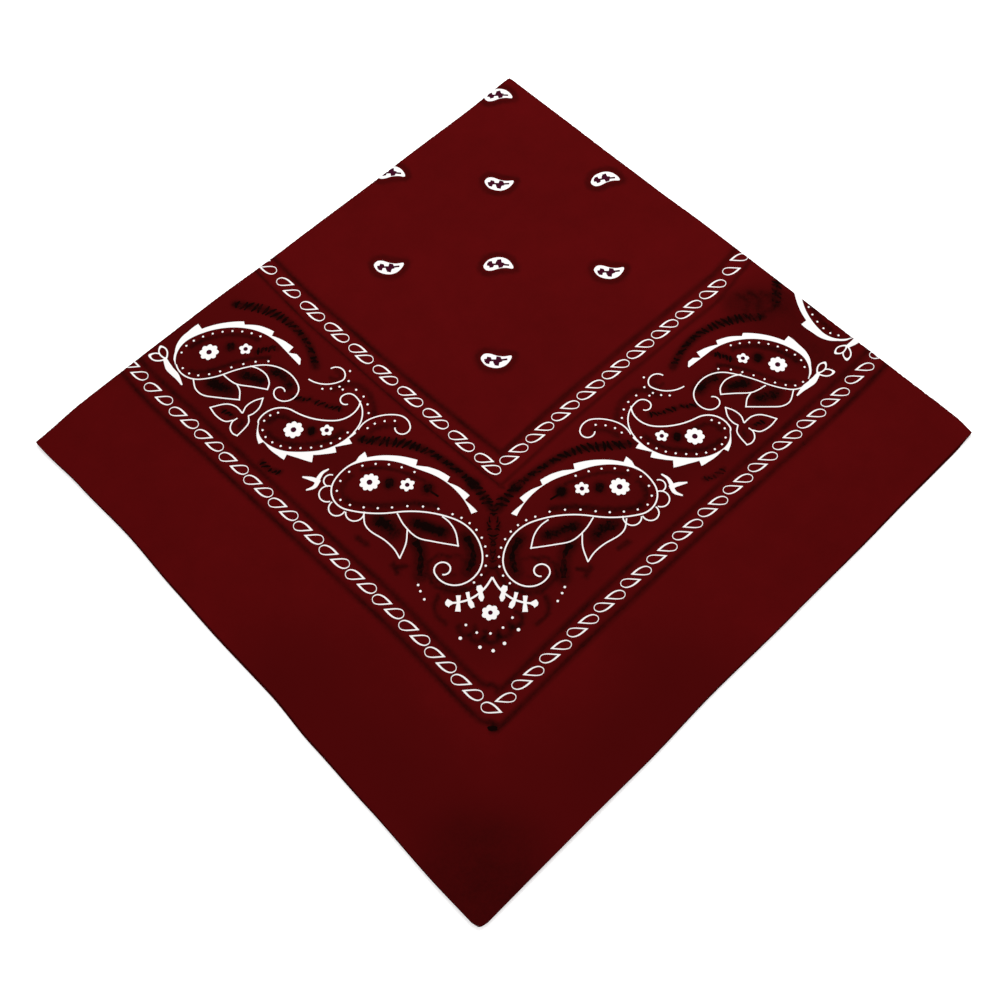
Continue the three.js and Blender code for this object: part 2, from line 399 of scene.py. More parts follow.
def big_paisley(ink):
    """The corner paisley: a round head, a tail that rolls in, and a toothed band over its back."""
    body = arcs((-6.6, 9.1), -151, [(11.5, 34), (16.5, 102), (20, 23), (24.5, -30), (21, -64),
                                    (15, -74), (13, -83), (9.5, -163), (6.5, -147)])
    back = arcs((-10.2, 6.5), 35, [(8, -23), (18.5, -35), (8.5, 2), (27.5, -47)])
    ink.stroke(body, 0.62)
    ink.band(back, [(0, 0.4), (5, 1.6), (6.5, 3.2), (8.9, 4.8), (9.5, 2.0), (19, 2.9), (27.5, 4.0),
                    (29.3, 4.2), (29.8, 1.6), (34.5, 2.8), (39.5, 3.2), (44.3, 3.2), (44.8, 0.6),
                    (49.5, 2.2), (55.2, 3.4), (55.8, 0.6), (62.5, 3.0)], 1)
    for middle, radius, first, sweep in [((-16.2, 0.8), 2.7, 70, 185), ((-16.8, -5.2), 3.6, 70, 220),
                                         ((-12.5, -11.5), 3.5, 130, 205), ((-5.1, -13.5), 3.8, 175, 190)]:
        ink.stroke(circle(middle, radius, first, sweep, 16))
    ink.dots(body, 4.5, 65, 11, 2.3)
    ink.dots(body, 71, 104.5, 10, 1.7)
    ink.dots(back, 7, 30.5, 5, -1.9)
    under = np.array((-1.3, -0.2) if ink.mirrored else (0, 0))
    for knots in [[(-1.5, -14), (-0.8, -18.5), (1.8, -21.8), (7.5, -25.5), (11.5, -29.3), (14, -33.3)],
                  [(14, -33.6), (16.2, -27), (16.5, -20.8)],
                  [(12, -13.8), (15.2, -19.2), (20.5, -24.3), (27.5, -26.2), (37.4, -28.0)],
                  [(37.2, -28.3), (36, -22.3), (33.5, -18), (30.3, -15.2)]]:
        ink.stroke(bend(knots) + under)
    for arm in [[(-22, -0.3), (-20, 4), (-17.2, 6.1)], [(-21.5, 0.6), (-24, 1.6), (-27.8, 2.5)],
                [(-21, 1.2), (-22.5, -2), (-25.8, -3.5)]]:
        line = bend(arm)
        ink.stroke(line, [(0, 2.0), (3, 1.7), (distances(line)[-1], 0.6)])
    ink.flower((0, 0), 4.1, 9)
    ink.flower((15.5, -1.2), 3.1, 6, 1.0, 25, 0.36)
    ink.spots([(21.9, -44.7), (22.9, -47.3), (24.6, -50.7)])
    ink.contour(at(body, np.linspace(26, 64, 16), 3.4), 1.0, 0.6)
    ink.smear(at(body, np.linspace(5, 26, 10), 4.4), 1.2, 0.5)
    ink.contour(at(back, np.linspace(6, 36, 12), -3.8), 0.6, 0.5)
    ink.smear(at(body, np.linspace(97, 130, 14), 3.1), 0.9, 0.6)
    ink.smear(circle((36, -36.5), 4.3, 20, 250), 0.9, 0.35)
    ink.blob((8.2, -0.5), 3.9, 5)
    ink.blob((24, -2.7), 3.9, 4.2)
    ink.stroke([(25, -4), (28.5, -6.5)], 0.9, BLACK)
    for line, width in [([(4.2, -16.8), (8, -19), (10.8, -22)], 2.8),
                        ([(19.3, -17.8), (24.5, -20), (31, -22.3)], 2.2)]:
        ink.contour(bend(line) + under, width, 0.6)
        ink.scribble(bend(line) + under, width * 0.9)
    ink.contour(bend([(19.8, -26), (22, -30), (22.5, -35.5), (22.4, -40.8)]), 2.1, 0.6)
    ink.contour(bend([(40.3, -24), (43, -29.5), (43.1, -34.5), (41.3, -38.8)]), 2.1, 0.6)
    ink.contour(bend([(-3.5, -24.5), (0.5, -27.5)]), 0.8)
    ink.contour(bend([(11.5, -36), (13.5, -39.8)]), 0.8)
    ink.contour(bend([(13.8, -37), (17, -36.8)]), 0.7)
    arch = bend([(-5, 20), (5.5, 18.8), (13.5, 17.8), (21, 15.2), (27.5, 11.5), (33, 7.5), (38.5, 3),
                 (43, -1.5), (46.5, -6), (49.5, -11)])
    ink.scribble(arch, 2.2, 2.6, 1.6, 0.7)
    ink.blob((42.6, -1), 5.2, 4, -35)


def scroll_paisley(ink):
    """The middle paisley: toothed under its belly, with a tail that ends in two curls."""
    belly = arcs((-14.9, 2.9), -100, [(9.5, 59), (13, 38), (9.5, 9), (20.5, 51),
                                      (10, 44), (7.5, 36), (6, 91), (6.5, 155)])
    crown = arcs((-15, 3), 113, [(2, -49), (16.5, -96), (18.5, 34), (8.5, 42), (7, 43)])
    curl = arcs((27.2, 0), 67, [(7.5, -42), (11.5, -34), (8, -72), (10.5, -187)])
    scroll = arcs((4.4, 24.3), -36, [(15, 65), (2, 46), (10, 139)])
    ink.band(belly, [(0, 0.4), (3.5, 1.1), (7.5, 2.2), (8.7, 2.7), (9.3, 0.5), (13.5, 1.8), (17.5, 3.0),
                     (20.4, 4.4), (20.9, 1.8), (25.5, 3.2), (31.1, 5.5), (31.6, 2.1), (36, 2.6), (40.3, 3.6),
                     (40.8, 1.0), (44, 2.2), (46.9, 3.8), (47.5, 1.1), (51, 1.6), (51.6, 0.3), (56, 0.2)], -1)
    ink.stroke(belly[distances(belly) > 50])
    ink.stroke(crown, 0.62)
    ink.stroke(curl)
    ink.stroke(scroll)
    ink.dots(belly, 3.5, 49, 11, 1.9)
    ink.dots(crown, 2.5, 11.5, 3, -2.3)
    ink.dots(belly, 60.5, 74.5, 5, -2.6)
    ink.dots(curl, 3, 18, 4, -2.9)
    ink.dots(scroll, 7, 19.5, 5, -2.3)
    ink.flower((0, 0), 4.1, 8)
    ink.flower((14, -0.3), 2.8, 5, 1.0, 20, 0.36)
    ink.contour(at(belly, np.linspace(6, 48, 16), 3.7), 0.8, 0.6)
    ink.smear(at(crown, np.linspace(1, 22, 10), -4.2), 1.2, 0.55)
    ink.blob((7.5, -0.5), 3.4, 4.7)
    ink.smear(at(belly, np.linspace(60, 76, 8), -5.0), 1.5, 0.5)
    ink.smear(at(curl, np.linspace(2, 20, 8), -5.2), 1.4, 0.5)
    ink.scribble(bend([(8, 13.4), (13, 11.3), (19, 9.8)]), 1.4, soft=0.5)
    ink.smear(circle((15.8, 26), 2.2, 200, 250), 1.1, 0.45)
    ink.scribble(bend([(-2, 16), (2, 14.5), (6, 14.5)]), 1.3)
    ink.scribble(bend([(-12, -15), (-8.5, -18.5), (-4, -20)]), 1.5)


def edge_paisley(ink):
    """The paisley beside the fold, banded over its back, its tail rolled in under two leaves."""
    if ink.mirrored:
        under = np.array((-2.7, -0.3))
        leaf_start = (-5.0, -12.0)
        body = arcs((-14.9, -6.1), -70, [(12, 73), (11.5, 15), (16, -13), (13.5, -56),
                                         (6, -24), (12.5, -93), (6.5, -75), (7, -139)])
    else:
        under = np.array((0, 0))
        leaf_start = (-5.3, -13.3)
        body = arcs((-13.6, -5.9), -73, [(14.5, 78), (11.5, 20), (14, -17), (15.5, -51),
                                         (6.5, -25), (14, -143), (4.5, -63), (7, -171)])
    back = arcs((-13.9, -5.9), 106, [(10, -48), (5, -25), (26.5, -46), (17.5, -35), (12.5, 1)])
    ink.stroke(body)
    teeth = np.array([(0, 0.4), (2.5, 1.3), (6, 1.5), (9.5, 2.6), (12.5, 3.4), (15.5, 4.1), (18.5, 5.2),
                      (20.3, 5.7), (21, 2.6), (31, 3.1), (38.3, 3.7), (39, 2.1), (45, 3.1), (51.6, 3.5),
                      (52.2, 1.3), (58.5, 3.2), (62.8, 4.0), (63.4, 0.6), (66.5, 2.9), (69.5, 2.8),
                      (71.5, 1.0)])
    if ink.mirrored:
        teeth[:, 0] = np.interp(teeth[:, 0], (0, 20, 38, 52, 72), (0, 22.3, 40.8, 53.2, 72))
    ink.band(back, teeth, 1)
    ink.dots(body, 3.5, 44, 9, 1.9)
    ink.dots(back, 6.5, 48, 10, -2.0)
    for knots in [[leaf_start, (-3.8, -18), (-0.3, -21), (5.7, -22.1), (15.7, -23.3)],
                  [(15.5, -23.6), (15.2, -19), (13.7, -15.8)],
                  [(7.4, -11.2), (10.7, -14), (14.2, -15.9), (20.7, -17), (27.1, -18.3)],
                  [(26.9, -18.6), (27.4, -15), (25.7, -11), (22.2, -8.2), (18.5, -6.8)]]:
        ink.stroke(bend(knots) + under)
    ink.flower((0, 0), 4.1, 8)
    ink.flower((15.7, 1.5), 2.8, 5, 1.0, 20, 0.36)
    ink.contour(at(back, np.linspace(12, 48, 14), -3.9), 0.9, 0.6)
    ink.contour(at(body, np.linspace(8, 44, 14), 3.6), 0.7, 0.55)
    ink.blob((9.2, 2.5), 3.7, 5)
    ink.scribble(bend([(20.5, 0.2), (25, 1.5), (29.5, 2)]), 1.6, 1.8, 1.5, 0.5)
    for line, width in [([(3.2, -15), (6.5, -17), (10.5, -18.6)], 2.6),
                        ([(16.2, -11), (19.8, -12.6), (23.6, -14)], 2.3),
                        ([(29.3, -9.2), (33.7, -12.6), (36.5, -17)], 2.2)]:
        ink.contour(bend(line) + under, width, 0.6)
        ink.scribble(bend(line) + under, width * 0.9)
    arch = bend([(8.7, 24.5), (17.7, 22.7), (24, 20.5), (31, 16.5), (37, 11.3), (41.5, 5.5), (44.7, -1),
                 (46.7, -7)])
    ink.scribble(arch, 2.3, 2.6, 1.6, 0.7)


def leaf_sprig(ink):
    """Three open leaves on one point."""
    for knots in [[(0.2, 1.5), (-3, 4.8), (-7.5, 6), (-14.2, 4.3)],
                  [(-14, 4.5), (-11, 0.5), (-7, -2.2), (-3.4, -1.8)],
                  [(0.2, 1.7), (1.5, 5), (4.5, 7.5), (8.4, 8.9)],
                  [(8.2, 9), (7.2, 4.5), (5, 1.6), (2.7, 0.3)],
                  [(-1.8, -0.8), (-3.8, -2.6), (-4.3, -5.6), (-3, -8), (-0.7, -9.2)],
                  [(-1, -9), (1.5, -6), (3.2, -3), (2.8, 0.5)]]:
        ink.stroke(bend(knots))
    ink.scribble(bend([(-8.5, 2.9), (-6, 1.5), (-3.8, 0.3)]), 1.3, 1.8)
    ink.smear([(0.5, -2.5), (-0.5, -5)], 1.2, 0.5)


def fold_bud(ink):
    """Two open petals on a solid tail."""
    for tip, wide in [((-8.2, 2.2), 1.9), ((-3.6, 6.9), 1.8)]:
        reach = np.array(tip)
        left = np.array([-reach[1], reach[0]]) / np.hypot(*reach)
        middle = reach * 0.5
        ink.fill(bend([(0, 0), middle * 0.7 + left * wide, middle * 1.4 + left * wide, reach,
                       middle * 1.4 - left * wide, middle * 0.7 - left * wide], 4, True))
        inside = left * (wide - line_wide)
        ink.fill(bend([reach * 0.14, middle * 0.8 + inside, middle * 1.35 + inside, reach * 0.84,
                       middle * 1.35 - inside, middle * 0.8 - inside], 4, True), GROUND)
    tail = bend([(-0.8, 0.4), (1.8, -4.5), (5.5, -8.5), (8.4, -12.9)])
    ink.stroke(tail, [(0, 1.5), (5, 2.9), (10, 2.6), (distances(tail)[-1], 0.6)])


def corner_ornament(ink, mirrored):
    """Half of the roof of two barred stems over the corner flower."""
    ink.place(0.8, 0, mirrored=mirrored)
    stem = bend([(0, 131.5), (-2.6, 127.2), (-6, 123.9), (-9.2, 122), (-13, 120.9), (-16.6, 120.6)])
    ink.stroke(stem, 0.8)
    bars = [([(-5.2, 128), (-4.4, 125), (-3.9, 121.4)],
             [(0, 1.7), (1.5, 2.7), (3.2, 1.5), (5.2, 2.3), (6.6, 0.9)]),
            ([(-9.6, 125.2), (-8.9, 122.2), (-7.3, 118.7)], [(0, 1.5), (3, 1.2), (5.2, 2.2), (7, 1.5)]),
            ([(-13.1, 123.8), (-13, 120.6), (-13.1, 117.1)], [(0, 1.9), (3.2, 1.2), (4.5, 1.7), (6.7, 2.2)]),
            ([(-15, 120.6), (-16.6, 120.6), (-18.1, 120.3)], [(0, 0.6), (1.4, 2.4), (2.0, 3.6), (3.1, 1.2)])]
    for bar, widths in bars:
        ink.stroke(bend(bar), widths)
    ink.contour(bend([(-21, 123.5), (-22.3, 119.5), (-21.3, 115.5), (-17.5, 112)]), 0.7, 0.5)
    ink.smear([(-23, 132), (-18, 127.5), (-11, 126.5)], 1.3, 0.5)
    middle_stem = bend([(-2.5, 166), (-0.5, 160), (-2, 154), (-0.3, 148), (-0.6, 141), (-0.5, 135)])
    ink.scribble(middle_stem, 1.3, 2.3, 0.9, 0.4)


def corner_dots(ink):
    ink.place(0, 0)
    ink.flower((0.4, 116.7), 3.4, 7, 0.95)
    ink.spots([(-9, 111.6), (-4.7, 108.5), (0.6, 108.2), (5.4, 110.6), (9, 114.7)])
    ink.spots([(-11, 106.2), (-3.3, 102.6), (1.8, 101.2), (6.1, 104.2), (11.4, 109.8)], 0.7)
    for middle, first in [((-8.6, 110.6), 170), ((-4.4, 108), 190), ((0.9, 107.6), 200), ((5.6, 110), 225),
                          ((9.6, 114), 240)]:
        ink.contour(circle(middle, 3.2, first, 190, 9), 0.75)


def field_comma(ink):
    """A small solid comma of the field, with a barred stem left open in it."""
    ink.fill(bend([(-6.2, 0.8), (-5, 3.1), (-2.6, 3.4), (0.8, 2.3), (3.8, 2.0), (6.7, 2.4), (6.5, 0.4),
                   (4.2, -2.5), (0.6, -3.7), (-3.8, -2.5)], 5, True))
    for line, wide in [([(-2.7, 1.8), (-3.4, -1.6)], 1.7), ([(-4.7, -0.1), (-1.6, 0.5)], 1.7),
                       ([(1.4, 1.9), (0.5, -2.5)], 1.9), ([(-0.9, -0.8), (2.7, 0.4)], 2.0),
                       ([(-2, 0.1), (1.5, 0.1), (5.1, 0.6)], 0.95)]:
        ink.stroke(line, wide, HEART)
    ring = bend([(-7.6, 1.2), (-6, 4.6), (-2.4, 5.2), (1, 4.1), (4.6, 3.9), (8.3, 3.2), (7.8, 0), (5.2, -3.9),
                 (0.6, -5.2), (-5, -3.8)], 5, True)
    ink.smear(np.concatenate([ring, ring[:1]]), 1.5, 0.42)


# Where the motifs lie: along, up, turn, scale for the left side, then for the mirrored right one
paired_motifs = [
    (big_paisley, (-50.2, 172.8, 0, 1), (51.5, 170.9, -1, 0.98)),
    (scroll_paisley, (-83.6, 197.2, 0, 1), (82.7, 193.9, -2, 0.965)),
    (edge_paisley, (-123.3, 234.8, 0, 1), (118.8, 228, -7, 0.93)),
    (leaf_sprig, (-106, 203.5, 0, 1), (103.2, 198.6, -3, 0.95)),
    (fold_bud, (-141.5, 231.5, 0, 1), (134.8, 223.4, -8, 0.9)),
]

# How a drop lies: whether its tip is to the left, and its fuller side down
RIGHT, LEFT_OVER = (False, False), (True, True)
RIGHT_OVER, LEFT = (False, True), (True, False)

# Rows of drops: how the even ones and the odd ones lie, how far the odd ones are pushed aside, how
# tall all are, then number, along and up of some of them. The others lie evenly between these.
drop_rows = [
    (RIGHT, LEFT_OVER, (0.9, 0), 1,
     [(0, 0.8, 78.5), (1, -5.6, 83.9), (7, -37.3, 116.4), (11, -60, 137.4), (19, -104.7, 178.9),
      (22, -122, 195), (24, -133.9, 205.5), (25, -140.1, 211.3), (27, -152.4, 223.6), (31, -172.3, 246.6)]),
    (LEFT, RIGHT_OVER, (-0.7, 0.3), 0.88,
     [(0, 7.7, 82.5), (6, 39.2, 114), (16, 91.5, 164.6), (26, 144.3, 214.4), (31, 172.4, 244.4)]),
    (LEFT_OVER, RIGHT, (0.9, -0.4), 1,
     [(0, 0.2, 178.7), (7, -38.7, 215.7), (12, -66.4, 242.1), (15, -83.5, 258.3), (18, -101, 277.4),
      (22, -124.6, 304)]),
    (RIGHT_OVER, LEFT, (0, 0), 0.92,
     [(0, 5.9, 183.1), (5, 32.3, 208.5), (15, 85.4, 258), (17, 96.2, 268.4), (19, 106.4, 282.1),
      (22, 121, 302)]),
]

# Dark lines beside a pair of rows: left row, right row, how far up, width, how soft
row_lines = [(0, 1, 7.2, 1.0, 0.5), (0, 1, -7.2, 1.0, 0.5), (2, 3, 7.4, 1.0, 0.5), (2, 3, -7.4, 0.6, 0.4)]

# Commas of the field: along, up, turn, upside down
field_commas = [
    (0, 230.3, 0, False),
    (-48.5, 278.3, 0, False),
    (48.5, 275, 0, False),
    (-0.7, 323.3, -5, False),
    (0, 279.5, 0, True),
    (47.3, 325.8, 12, True),
    (-50.3, 330.4, 0, True),
    (-2, 375.3, 4, True),
]

# The soft dark ink round every motif of the border
haze_line = [(-12, 0), (12, -8)]
haze_wide = 17.0
haze_dark = 0.08

# Blurred hooks beside the wrapped fold
hooks = [
    [(104, 263), (108, 259), (107, 254)],
    [(109, 264), (113, 260), (112, 255)],
    [(114, 264), (119, 261), (119, 256), (115, 254)],
]

# Broad soft darkening of the ground, some of it painted shade: line, width, how dark
broad_tone_and_painted_shade = [
    ([(104, 259), (122, 260)], 7, 0.3),
    ([(112, 256), (138, 236)], 14, 0.22),
    ([(0, 150), (0, 112)], haze_wide, 0.1),
    ([(-130, 258), (-60, 185), (0, 125), (60, 185), (130, 252)], 28, 0.16),
    # Painted shade: the near corner darkened, away from the light
    ([(0, 2), (0, 14)], 26, 0.34),
    # Along both near sides: partly the border's dark print specks, partly painted shade
    ([(-75, 85), (-60, 64), (0, 20), (60, 64), (75, 85)], 30, 0.16),
]


def over_black(shape):
    return shape[1] not in (BLACK, FADED)


ink = Print()
for motif, left, right in paired_motifs:
    for place, mirrored in ((left, False), (right, True)):
        ink.place(*place, mirrored=mirrored)
        motif(ink)
        ink.smear(haze_line, haze_wide, haze_dark)
for mirrored in (False, True):
    corner_ornament(ink, mirrored)
corner_dots(ink)
ink.place(0, 0)
for first, second, push, tall, row in drop_rows:
    numbers, along, up = np.array(row, float).T
    for number in range(int(numbers[-1]) + 1):
        odd = number % 2
        middle = np.array((np.interp(number, numbers, along), np.interp(number, numbers, up)))
        ink.drop(middle + odd * np.array(push), *(second if odd else first), tall)
for left, right, lift, width, soft in row_lines:
    left_ends, right_ends = (np.array(drop_rows[row][-1])[:, 1:] + (0, lift) for row in (left, right))
    lowest = (left_ends[0] + right_ends[0] - (0, 3)) / 2
    corner = [lowest + (-2.5, 1.4), lowest, lowest + (2.5, 1.4)]
    ink.contour(bend([*left_ends[:0:-1], *corner, *right_ends[1:]]), width, soft)
ink.blob((2.2, 70.8), 4.5, 2.2)
for along, up, turn, upside_down in field_commas:
    ink.place(along, up, turn, 1, upside_down=upside_down)
    field_comma(ink)

# The print goes on past its middle line, as far as the wrapped fold
for motif in (edge_paisley, fold_bud):
    right = next(right for made, left, right in paired_motifs if made is motif)
    ink.place(*right, mirrored=True, beyond=True)
    motif(ink)
ink.place(0, 0)
for line in hooks:
    ink.contour(bend(line), 0.8, 0.35)
for line, width, strength in broad_tone_and_painted_shade:
    ink.smear(line, width, strength)
ink.shapes.sort(key=over_black)


def smear_at(points):
    """How dark the soft ink and the painted shade are at points of the plan."""
    dark = np.zeros(len(points))
    for line, width, strength in ink.smears:
        low, high = line.min(axis=0) - width * 2, line.max(axis=0) + width * 2
        near = np.flatnonzero(((points > low) & (points < high)).all(axis=1))
        if not len(near):
            continue
        gap = np.full(len(near), np.inf)
        for a, b in zip(line, line[1:]):
            step = b - a
            share = np.clip((points[near] - a) @ step / max(step @ step, 1e-9), 0, 1)
            gap = np.minimum(gap, np.hypot(*(points[near] - a - share[:, None] * step).T))
        amount = strength * (1 - smooth((gap - width * 0.35) / (width * 1.1)))
        dark[near] = 1 - (1 - dark[near]) * (1 - amount)
    return dark


def plan_outline(inset, far_left=None):
    """The outline of one quarter, with its free edges drawn in by inset(distance round them).
    far_left gives that side's points where it joins a side that is already drawn."""
    count_x, count_y = int(quarter_wide / edge_step), int(quarter_deep / edge_step)
    x = np.linspace(0, 1, count_x + 1)
    y = np.linspace(0, 1, count_y + 1)
    first_x, first_y = low_x(0) + inset(0), low_y(0) + inset(0)
    last_x, last_y = end_x(0), end_y(0)
    along_x = first_x + (last_x - first_x) * x
    near_right = np.stack([along_x, low_y(along_x) + inset(along_x)], axis=1)
    far_y = end_y(end_x(quarter_deep))
    along_y = near_right[-1, 1] + (far_y - near_right[-1, 1]) * y[1:]
    far_right = np.stack([end_x(along_y), along_y], axis=1)
    left_x = low_x(last_y) + inset(-last_y)
    along_x = far_right[-1, 0] + (left_x - far_right[-1, 0]) * x[1:]
    if far_left is None:
        far_left = np.stack([along_x, end_y(along_x)], axis=1)
    along_y = far_left[-1, 1] + (first_y - far_left[-1, 1]) * y[1:-1]
    near_left = np.stack([low_x(along_y) + inset(-along_y), along_y], axis=1)
    loop = np.concatenate([near_right, far_right, far_left, near_left])
    corner = loop[0]
    keep = np.hypot(*(loop - corner).T) > corner_round
    kept = loop[keep]
    arc = bend([kept[-1], (kept[-1] + kept[0]) / 4 + corner / 2, kept[0]], 5)[1:-1]
    return np.concatenate([kept, arc])


def fold_points():
    """Rows of points beside both folds, where the cloth turns."""
    along_x = np.arange(edge_step, quarter_wide, edge_step)
    along_y = np.arange(edge_step, quarter_deep, edge_step)
    points = []
    for share in (0.25, 0.5, 0.75, 1):
        points.extend(zip(end_x(along_y) - share * turn_wide, along_y))
    for share in (0.5, 1):
        points.extend(zip(along_x, end_y(along_x) - share * turn_narrow))
    return points


def triangulate(outline, spacing, shapes=()):
    """Plan points, triangles and each triangle's ink inside an outline."""
    low, high = outline.min(axis=0), outline.max(axis=0)
    rows = np.arange(low[1] + spacing / 2, high[1], spacing * 0.87)
    grid = [
        (x + (index % 2) * spacing / 2, y)
        for index, y in enumerate(rows)
        for x in np.arange(low[0] + spacing / 2, high[0], spacing)
    ]
    points = [Vector(p) for p in outline]
    faces = [list(range(len(points)))]
    for shape, shape_ink in shapes:
        faces.append(list(range(len(points), len(points) + len(shape))))
        points.extend(Vector(p) for p in shape)
    if shapes:
        grid += fold_points()
    points.extend(Vector(p) for p in grid)
    every_triangle, merge_within = 0, 1e-4
    made = delaunay_2d_cdt(points, [], faces, every_triangle, merge_within, True)
    found, triangles, sources = made[0], made[2], made[5]
    plan = np.array([(p.x, p.y) for p in found])
    kept = [(tri, max(source)) for tri, source in zip(triangles, sources) if 0 in source and len(tri) == 3]
    corners = np.array([tri for tri, source in kept])
    inks = [shapes[source - 1][1] if source else GROUND for tri, source in kept]
    a, b, c = (plan[corners[:, i]] for i in range(3))
    turned = (b[:, 0] - a[:, 0]) * (c[:, 1] - a[:, 1]) < (b[:, 1] - a[:, 1]) * (c[:, 0] - a[:, 0])
    corners[turned] = corners[turned][:, ::-1]
    return plan, corners, inks


def rim_loop(corners):
    """The outline of triangles as one loop of point numbers, counter-clockwise."""
    starts = corners.ravel()
    ends = np.roll(corners, -1, axis=1).ravel()
    size = int(corners.max()) + 1
    outer = ~np.isin(starts * size + ends, ends * size + starts)
    follow = dict(zip(starts[outer].tolist(), ends[outer].tolist()))
    start = int(starts[outer][0])
    loop = [start]
    while follow[loop[-1]] != start:
        loop.append(follow[loop[-1]])
    return loop


class Cloth:
    """Faces of a sheet, gathered layer by layer into one mesh."""

    def __init__(self, name):
        self.name = name
        self.points, self.faces, self.colours, self.maps, self.reverse = [], [], [], [], []
        self.spare = 0

    def add(self, places, faces, colours, uv, reverse):
        base = sum(len(p) for p in self.points)
        self.points.append(places)
        self.faces.extend([[base + i for i in face] for face in faces])
        self.colours.extend(colours)
        self.maps.extend(uv)
        self.reverse.extend([reverse] * len(faces))

    def spare_map(self, plan):
        """A small corner of the map for faces that hardly show."""
        row = self.spare
        self.spare += 1
        corner = np.array([spare_map_left, 0.01 + spare_map_pitch * row])
        return plan / quarter_wide * spare_map_size + corner

    def layer(self, under_x, under_y, printed, back, rims):
        """One quarter: printed and back are (plan, corners, inks), and rims names its closed sides."""
        flip = under_x != under_y
        half = cotton_thick / 2
        faces_of = ((printed, half, flip, False), (back, -half, not flip, True))
        for (plan, corners, inks), offset, turned, reverse in faces_of:
            if len(set(inks)) > 1:
                uv = (plan + print_map_margin) / print_map_reach * print_map_share
                dark = smear_at(plan)
            else:
                uv = self.spare_map(plan)
                dark = np.zeros(len(plan))
            order = corners[:, ::-1] if turned else corners
            colours = []
            for tri, name in zip(order, inks):
                white, black, heart = ink_parts[name]
                colours.extend((white, max(black, dark[i]), heart, 1) for i in tri)
            places = fold_up(plan, under_x, under_y, offset)
            self.add(places, order.tolist(), colours, uv[order].reshape(-1, 2).tolist(), reverse)
        loop = rim_loop(printed[1])
        edge = printed[0][loop]
        count = len(loop)
        upper, lower = fold_up(edge, under_x, under_y, half), fold_up(edge, under_x, under_y, -half)
        past_x = edge[:, 0] > end_x(edge[:, 1]) - on_edge
        past_y = edge[:, 1] > end_y(edge[:, 0]) - on_edge
        quads = []
        for i in range(count):
            j = (i + 1) % count
            if past_x[i] and past_x[j]:
                side = "wrap"
            elif past_y[i] and past_y[j]:
                side = "stack"
            else:
                side = "free"
            if side in rims:
                quad = [i, count + i, count + j, j]
                quads.append(quad[::-1] if flip else quad)
        number = np.arange(2 * count)
        strip_across = spare_map_left + rim_map_wide * (number >= count)
        strip_up = rim_map_low + rim_map_tall * (number % count) / count
        uv = [(strip_across[i], strip_up[i]) for quad in quads for i in quad]
        # The sides of every layer take painted shade, as a dark share in the black channel
        colours = [(0, rim_painted_shade, 0, 1)] * (4 * len(quads))
        self.add(np.concatenate([upper, lower]), quads, colours, uv, True)

    def build(self, shift, slots):
        places = np.concatenate(self.points) + np.array([shift[0], shift[1], 0])
        mesh = bpy.data.meshes.new(self.name)
        mesh.from_pydata((places * MM).tolist(), [], self.faces)
        for slot in slots:
            mesh.materials.append(slot)
        mesh.polygons.foreach_set("material_index", [int(r) for r in self.reverse])
        # The ink attribute holds the print, and also the painted shade of the soft marks and the layers'
        # sides
        colour = mesh.color_attributes.new("ink", "FLOAT_COLOR", "CORNER")
        colour.data.foreach_set("color", np.array(self.colours, np.float32).ravel())
        uv = mesh.uv_layers.new(name="OFBake")
        uv.data.foreach_set("uv", np.array(self.maps, np.float32).ravel())
        piece = bpy.data.objects.new(self.name, mesh)
        bpy.context.scene.collection.objects.link(piece)
        bpy.ops.object.select_all(action="DESELECT")
        piece.select_set(True)
        bpy.context.view_layer.objects.active = piece
        bpy.ops.object.mode_set(mode="EDIT")
        bpy.ops.mesh.select_all(action="SELECT")
        bpy.ops.mesh.remove_doubles(threshold=weld_within * MM)
        bpy.ops.object.mode_set(mode="OBJECT")
        bpy.ops.object.shade_smooth_by_angle(angle=math.radians(smooth_under))
        piece.select_set(False)
        return piece


# Shaders

class Wire:
    """A socket on which Python's sums add Math nodes."""

    def __init__(self, paint, socket):
        self.paint, self.socket = paint, socket

    def maths(self, kind, other):
        return self.paint.node("ShaderNodeMath", {"operation": kind}, {0: self, 1: other})

    def __add__(self, other):
        return self.maths("ADD", other)

    def __sub__(self, other):
        return self.maths("SUBTRACT", other)

    def __mul__(self, other):
        return self.maths("MULTIPLY", other)


class Paint:
    """One material and the nodes that make it."""

    def __init__(self, name):
        self.material = bpy.data.materials.new(name)
        self.material.use_nodes = True
        self.tree = self.material.node_tree
        self.shader = self.tree.nodes["Principled BSDF"]

    def node(self, kind, settings, sockets, output=0):
        made = self.tree.nodes.new(kind)
        for name, value in settings.items():
            setattr(made, name, value)
        for key, value in sockets.items():
            self.feed(made.inputs[key], value)
        return Wire(self, made.outputs[output])

    def feed(self, socket, value):
        if isinstance(value, Wire):
            self.tree.links.new(value.socket, socket)
        else:
            socket.default_value = value

    def shade(self, values):
        for name, value in values.items():
            self.feed(self.shader.inputs[name], value)

    def place(self):
        return self.node("ShaderNodeTexCoord", {}, {}, "Object")

    def mix(self, share, first, second):
        return self.node("ShaderNodeMix", {"data_type": "RGBA"}, {0: share, 6: first, 7: second}, 2)

    def noise(self, place, scale, detail, rough):
        sockets = {"Vector": place, "Scale": scale, "Detail": detail, "Roughness": rough}
        return self.node("ShaderNodeTexNoise", {}, sockets)

    def thread(self, place, stretch):
        """Fine noise drawn out along the threads of one direction."""
        stretched = self.node("ShaderNodeMapping", {}, {"Vector": place, "Scale": stretch})
        return self.noise(stretched, thread_scale, 2, 0.6)

    def weave(self, height, strength):
        sockets = {"Strength": strength, "Distance": weave_depth * MM, "Height": height}
        return self.node("ShaderNodeBump", {}, sockets)


